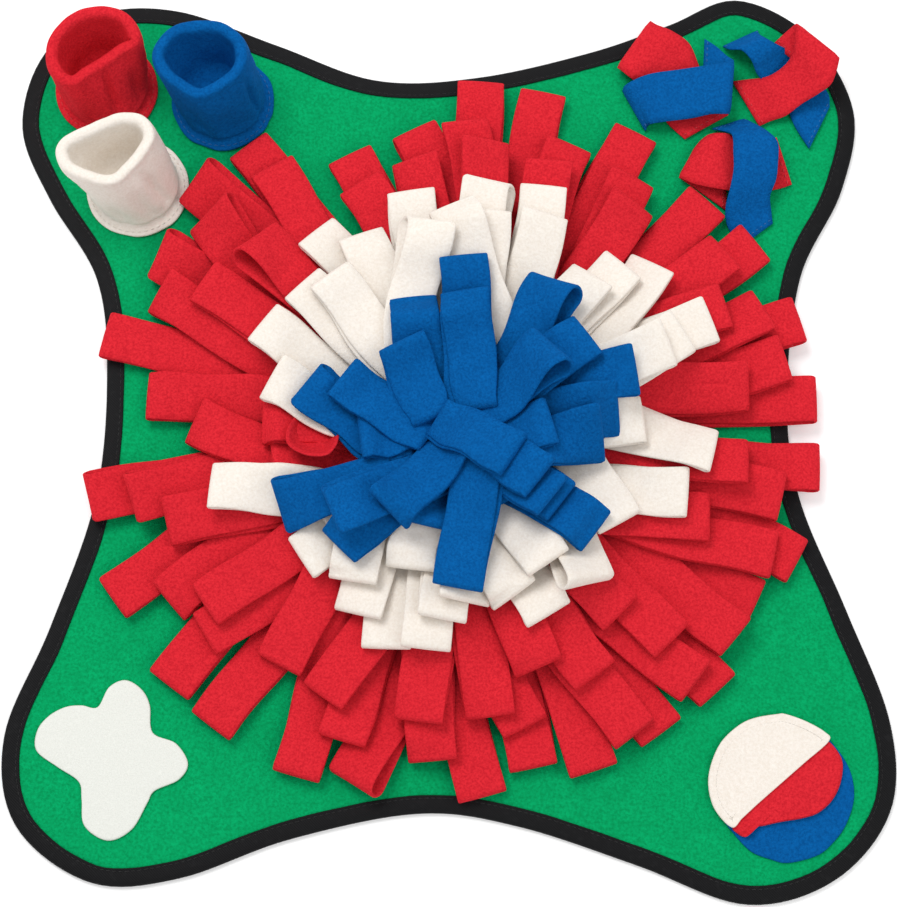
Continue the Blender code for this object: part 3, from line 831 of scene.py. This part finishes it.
def folded_strip(pile, rng, root, crown, azimuth, reach, turn, gape=2.2, roll=0.0, droop=0.0, cone=0.0):
    """The middle surface of one strip folded in half, root to fold to root, laid on the pile.

    It stands in the mat at its root, passes over the crown height and leads out to its fold. gape opens
    the fold, roll tips it sideways in degrees, droop lets it hang, and cone opens it at one side only, the
    left if above nought, and draws the upper layer back from there. s is the share of the way to the fold.
    The values given are in mm and degrees."""
    out = toward(azimuth + turn)
    side = np.array((-out[1], out[0]))
    tip = ROSETTE + toward(azimuth) * (reach - FOLD_REACH) * MM
    length = (reach - FOLD_REACH - root) * MM
    s = np.linspace(0, 1, STATIONS)
    wander = rng.uniform(-WANDER, WANDER) * MM
    slipped = rng.uniform(-SLIP, SLIP) * MM * (1 - s)
    path = tip - out * ((1 - s) * length)[:, None] + side * (wander * np.sin(3 * math.pi * s))[:, None]
    gather = ROOT_WIDTH + (1 - ROOT_WIDTH) * ease(s, 0.0, 0.3)
    phase = rng.uniform(0, 6)
    half = STRIP_WIDTH / 2 * gather * (1 + 0.015 * np.sin(7 * s + phase))
    lower = np.empty((STATIONS, len(ACROSS), 3))
    lower[..., :2] = path[:, None] + side * (half[:, None] * ACROSS)[..., None]
    upper = lower.copy()
    lower[..., :2] += side * slipped[:, None, None]

    support = crown * MM * (1 - ease(s, 0.05, 0.5)) + MAT_TOP * ease(s, 0.05, 0.5)
    rests = settle(np.maximum(np.maximum(pile.under(lower), pile.under(upper)), support[:, None]))
    tipping = math.tan(math.radians(roll)) * ease(s, 0.3, 1.0)[:, None]
    rests += tipping * half[:, None] * (ACROSS + np.sign(roll))
    rests += (LIFT * ease(s, 0.45, 1.0) ** 1.5)[:, None] * MM
    rests += rng.uniform(0.0, UNEVEN) * MM * np.sin(5 * s + phase)[:, None] * (0.4 + ACROSS * 0.4)
    lower[..., 2] = rests + CLOTH / 2 + REST_GAP
    between = CLOTH + (LAYER_GAP + gape * ease(s, 0.6, 0.97)) * MM
    upper[..., 2] = lower[..., 2] + between[:, None] + BULGE * (1 - ACROSS**2)
    opened = abs(cone) * MM * ease(s, 0.5, 0.97)
    upper[..., 2] += opened[:, None] * (0.5 + 0.5 * np.sign(cone) * ACROSS) ** 1.5
    upper[..., :2] -= side * (DRAWN_BACK * cone * MM * ease(s, 0.4, 1.0))[:, None, None]
    hanging = (droop * MM * ease(s, 0.72, 1.0) ** 2)[:, None]
    lower[..., 2] -= hanging
    upper[..., 2] -= hanging

    fold = fold_round(lower, upper, out)
    lay_down(pile, lower, upper, fold)
    feet = np.stack([lower[0], upper[0]])
    feet[..., 2] = MAT_TOP + CLOTH / 2
    return np.concatenate([feet[:1], lower, fold, upper[::-1], feet[1:]])


def opened_loop(pile, azimuth, reach, heading, length, width):
    """The middle surface of a strip whose fold has opened into a scoop, its inside turned up, in mm."""
    out = toward(heading)
    side = np.array((-out[1], out[0]))
    shape = [(along * length, across * width / 2) for along, across in LOOP_SHAPE]
    shape = open_curve(shape, LOOP_STEPS) * MM
    tip = ROSETTE + toward(azimuth) * reach * MM
    rim = tip - out * length * MM + shape[:, :1] * out + shape[:, 1:] * side
    hollow = tip - out * length * LOOP_HOLLOW * MM
    rise = np.linspace(0, 1, len(ACROSS))[None, :]
    spread = LOOP_FLOOR + (1 - LOOP_FLOOR) * rise[..., None] ** 0.7
    grid = np.empty((len(rim), len(ACROSS), 3))
    grid[..., :2] = hollow + (rim - hollow)[:, None] * spread
    along = np.linspace(0, 1, len(rim))
    sunk = LOOP_ENDS_SUNK * (1 - ease(np.minimum(along, 1 - along), 0.0, 0.3))
    grid[..., 2] = float(pile.under(rim).max()) + (LOOP_DEPTH * (rise**1.6 - 1) + LOOP_STANDS) - sunk[:, None]
    return grid


# The courses of strips, lowest first; red_course_3 has two rows. Later strips lie on earlier ones. A strip is
# its direction from the rosette's middle, how far its fold reaches and how far it is turned from pointing
# straight out; a fourth value holds what is its own. After the word loop come heading, length and width.
COURSES = (
    # name, cloth, root radius, crown height, strips (azimuth, reach, turn, own)
    ("red_course_1", "red", 108, 7, (
        (6, 209, -6, {"gape": 5}), (19, 212, -2, {"gape": 4}), (33, 212, 4), (43, 206, 4), (59, 213, 3),
        (75, 215, 3), (85, 215, 1), (124, 211, 4), (133, 212, 2, {"gape": 2, "roll": -12, "cone": -7}),
        (146, 199, 2, {"gape": 2, "roll": -10, "cone": -7}), (163, 207, 3), (189, 206, 0, {"cone": -5}),
        (206, 210, 10), (222, 210, 11), (231, 210, 2), (246, 208, 8, {"gape": 4}),
        (256, 202, -11, {"gape": 2, "roll": 12, "cone": 7}), (275, 203, 10), (284, 192, -2),
        (293, 204, -5), (305, 204, 1), (316, 207, -4), (331, 196, 3), (340, 208, -9),
        (355, 209, 3, {"gape": 5}))),
    ("red_course_2", "red", 92, 11, (
        (13, 196, 3), (22, 194, 4), (34, 192, 3), (55, 187, 10), (68, 188, 3), (96, 183, 20, {"gape": 7}),
        (87, 185, 14, {"gape": 4}), (109, 179, 8), (123, 190, -2), (136, 188, -15, {"roll": -8, "cone": -6}),
        (153, 187, -6), (172, 174, 5), (191, 182, 2, {"cone": -4}), (211, 183, 9), (220, 177, -9),
        (251, 182, 2), (267, 183, 7), (284, 170, 13), (301, 197, 7), (314, 195, 9), (324, 196, -4),
        (339, 194, 8), (349, 190, -2))),
    ("red_course_3", "red", 74, 15, (
        (9, 171, -6), (25, 173, -8), (52, 173, 6), (70, 171, 12), (83, 173, 6), (97, 164, 6),
        (109, 158, 12), (148, 166, -1), (137, 155, 6, {"gape": 2, "roll": 16, "cone": 9}), (177, 145, -23),
        (198, 166, -6), (216, 167, -2), (234, 161, 8), (245, 164, -11), (264, 163, -2), (278, 161, -1),
        (300, 159, 6), (316, 170, -2), (341, 153, 17), (354, 168, 1), (312, 140, 3), (290, 142, 2))),
    ("red_course_3", "red", 40, 17, ((187, 100, 0), (177, 105, 3), (192.5, 80, "loop", 258, 26, 29))),
    ("white_course_1", "white", 58, 19, (
        (23, 160, -1), (40, 153, 16), (69, 153, 13), (80, 145, -3, {"cone": -5}), (99, 142, -1),
        (123, 140, 13), (150, 122, -7), (194, 137, -18), (254, 128, 13), (264, 125, 1), (297, 119, 4),
        (344, 137, 12), (355, 148, -11))),
    ("white_course_2", "white", 46, 23, (
        (22, 141, 10), (44, 138, 2), (66, 135, 10), (80, 125, 6), (114, 125, -1), (135, 118, 0),
        (164, 104, -14), (222, 110, -9), (244, 116, 10), (268, 109, -7),
        (309, 115, -27, {"roll": -8, "cone": -7}), (330, 109, -30))),
    ("white_course_3", "white", 36, 27, (
        (2, 108, 5), (20, 129, 2), (47, 119, 2), (89, 127, 20), (128, 110, 0), (238, 102, 20),
        (275, 100, -12), (290, 102, 14), (98, 116, -16, {"roll": 14, "cone": 7}),
        (212, 86, -4), (255, 84, 6), (322, 92, 0), (304, 96, 0))),
    ("blue_course_1", "blue", 22, 31, (
        (15, 106, -4), (50, 98, 6, {"gape": 2, "roll": -14, "cone": -8}), (85, 94, 10),
        (162, 82, -23, {"cone": -5}), (205, 103, -13, {"cone": -5}), (229, 92, -5), (322, 101, 1),
        (188, 50, 0), (258, 60, 0), (295, 54, 0), (98, 62, 0))),
    ("blue_course_2", "blue", 14, 34, (
        (4, 93, 4, {"droop": 9}), (31, 89, 4), (106, 77, -9, {"droop": 8}), (218, 81, -20, {"cone": -5}),
        (322, 77, 1), (320, 72, 2))),
    ("blue_course_3", "blue", 7, 37, (
        (354, 84, 16), (356, 56, 20), (29, 67, 5, {"gape": 2, "roll": -8, "cone": -8}), (83, 74, 13),
        (273, 94, -12), (238, 62, -11), (156, 66, -11), (121, 53, -10), (323, 61, -1))),
    ("blue_top_strip", "blue", -6, 40, ((325, 42, 2, {"gape": 3}),)),
)


def make_rosette():
    """Lays the strips one by one, each on the pile of those before it."""
    pile = Pile(BINDING_TOP)
    rng = random.Random(SEED)
    laid = {}
    for course, cloth, root, crown, strips in COURSES:
        for azimuth, reach, turn, *own in strips:
            laid[course] = laid.get(course, 0) + 1
            name = f"{course}_strip_{laid[course]:02d}"
            if turn == "loop":
                grid = opened_loop(pile, azimuth, reach, *own)
            else:
                grid = folded_strip(pile, rng, root, crown, azimuth, reach, turn, **dict(*own))
            strip = add_object(name, *thick_sheet(grid, CLOTH), cloth, [course])


# -------- light, floor, camera

CAMERA_TILT = 12.0  # degrees from straight down
CAMERA_DISTANCE = 1.2
CAMERA_TARGET = Vector((0.0020, -0.0120, 0.0))
VIEW_WIDTH = 0.5131  # width of the view at the target
SENSOR = 36.0
SKY_STRENGTH = 0.68
LAMPS = (("key", (-0.55, 0.75, 1.6), 0.9, 17), ("fill", (0.9, -0.5, 1.5), 1.4, 7))  # name, place, size, power
FLOOR_SIZE = 8.0
FLOOR_DROP = 0.0005  # so that the mat's underside isn't in the floor's plane
FLOOR_GLOW = 0.15


def make_camera():
    data = bpy.data.cameras.new("camera")
    data.sensor_fit = "HORIZONTAL"
    data.sensor_width = SENSOR
    data.lens = SENSOR * CAMERA_DISTANCE / VIEW_WIDTH
    camera = bpy.data.objects.new("camera", data)
    tilt = math.radians(CAMERA_TILT)
    camera.location = CAMERA_TARGET + Vector((0.0, -math.sin(tilt), math.cos(tilt))) * CAMERA_DISTANCE
    camera.rotation_euler = (tilt, 0.0, 0.0)
    bpy.context.scene.collection.objects.link(camera)
    bpy.context.scene.camera = camera


def area_light(name, place, size, power):
    data = bpy.data.lights.new(name, "AREA")
    data.shape = "DISK"
    data.size = size
    data.energy = power
    light = bpy.data.objects.new(name, data)
    light.location = place
    light.rotation_euler = (-Vector(place)).to_track_quat("-Z", "Y").to_euler()
    bpy.context.scene.collection.objects.link(light)


def make_studio():
    bpy.context.scene.view_settings.view_transform = "Standard"
    world = bpy.data.worlds.new("studio")
    bpy.context.scene.world = world
    world.use_nodes = True
    sky = world.node_tree.nodes["Background"]
    sky.inputs["Color"].default_value = (1.0, 1.0, 1.0, 1.0)
    sky.inputs["Strength"].default_value = SKY_STRENGTH
    for lamp in LAMPS:
        area_light(*lamp)
    bpy.ops.mesh.primitive_plane_add(size=FLOOR_SIZE, location=(0.0, 0.0, -FLOOR_DROP))
    floor = bpy.context.object
    floor.name = "floor"
    nodes = Nodes("floor_paper")
    grain = nodes.noise(0.02)
    body = nodes.mix(grain, (0.93, 0.93, 0.93), (0.95, 0.95, 0.95))
    nodes.put(nodes.shader, {"Emission Color": (1.0, 1.0, 1.0, 1.0), "Emission Strength": FLOOR_GLOW})
    floor.data.materials.append(nodes.finish(body, nodes.bump(grain, 0.02, 0.0002), 0.9, 0.1))


def main():
    make_camera()
    make_studio()
    edge = mat_edge()
    make_mat(edge)
    make_binding(edge)
    make_rosette()
    for cup in CUPS:
        make_cup(*cup)
    for tie in TIES:
        make_tie(*tie)
    make_patch()
    make_pocket()


main()
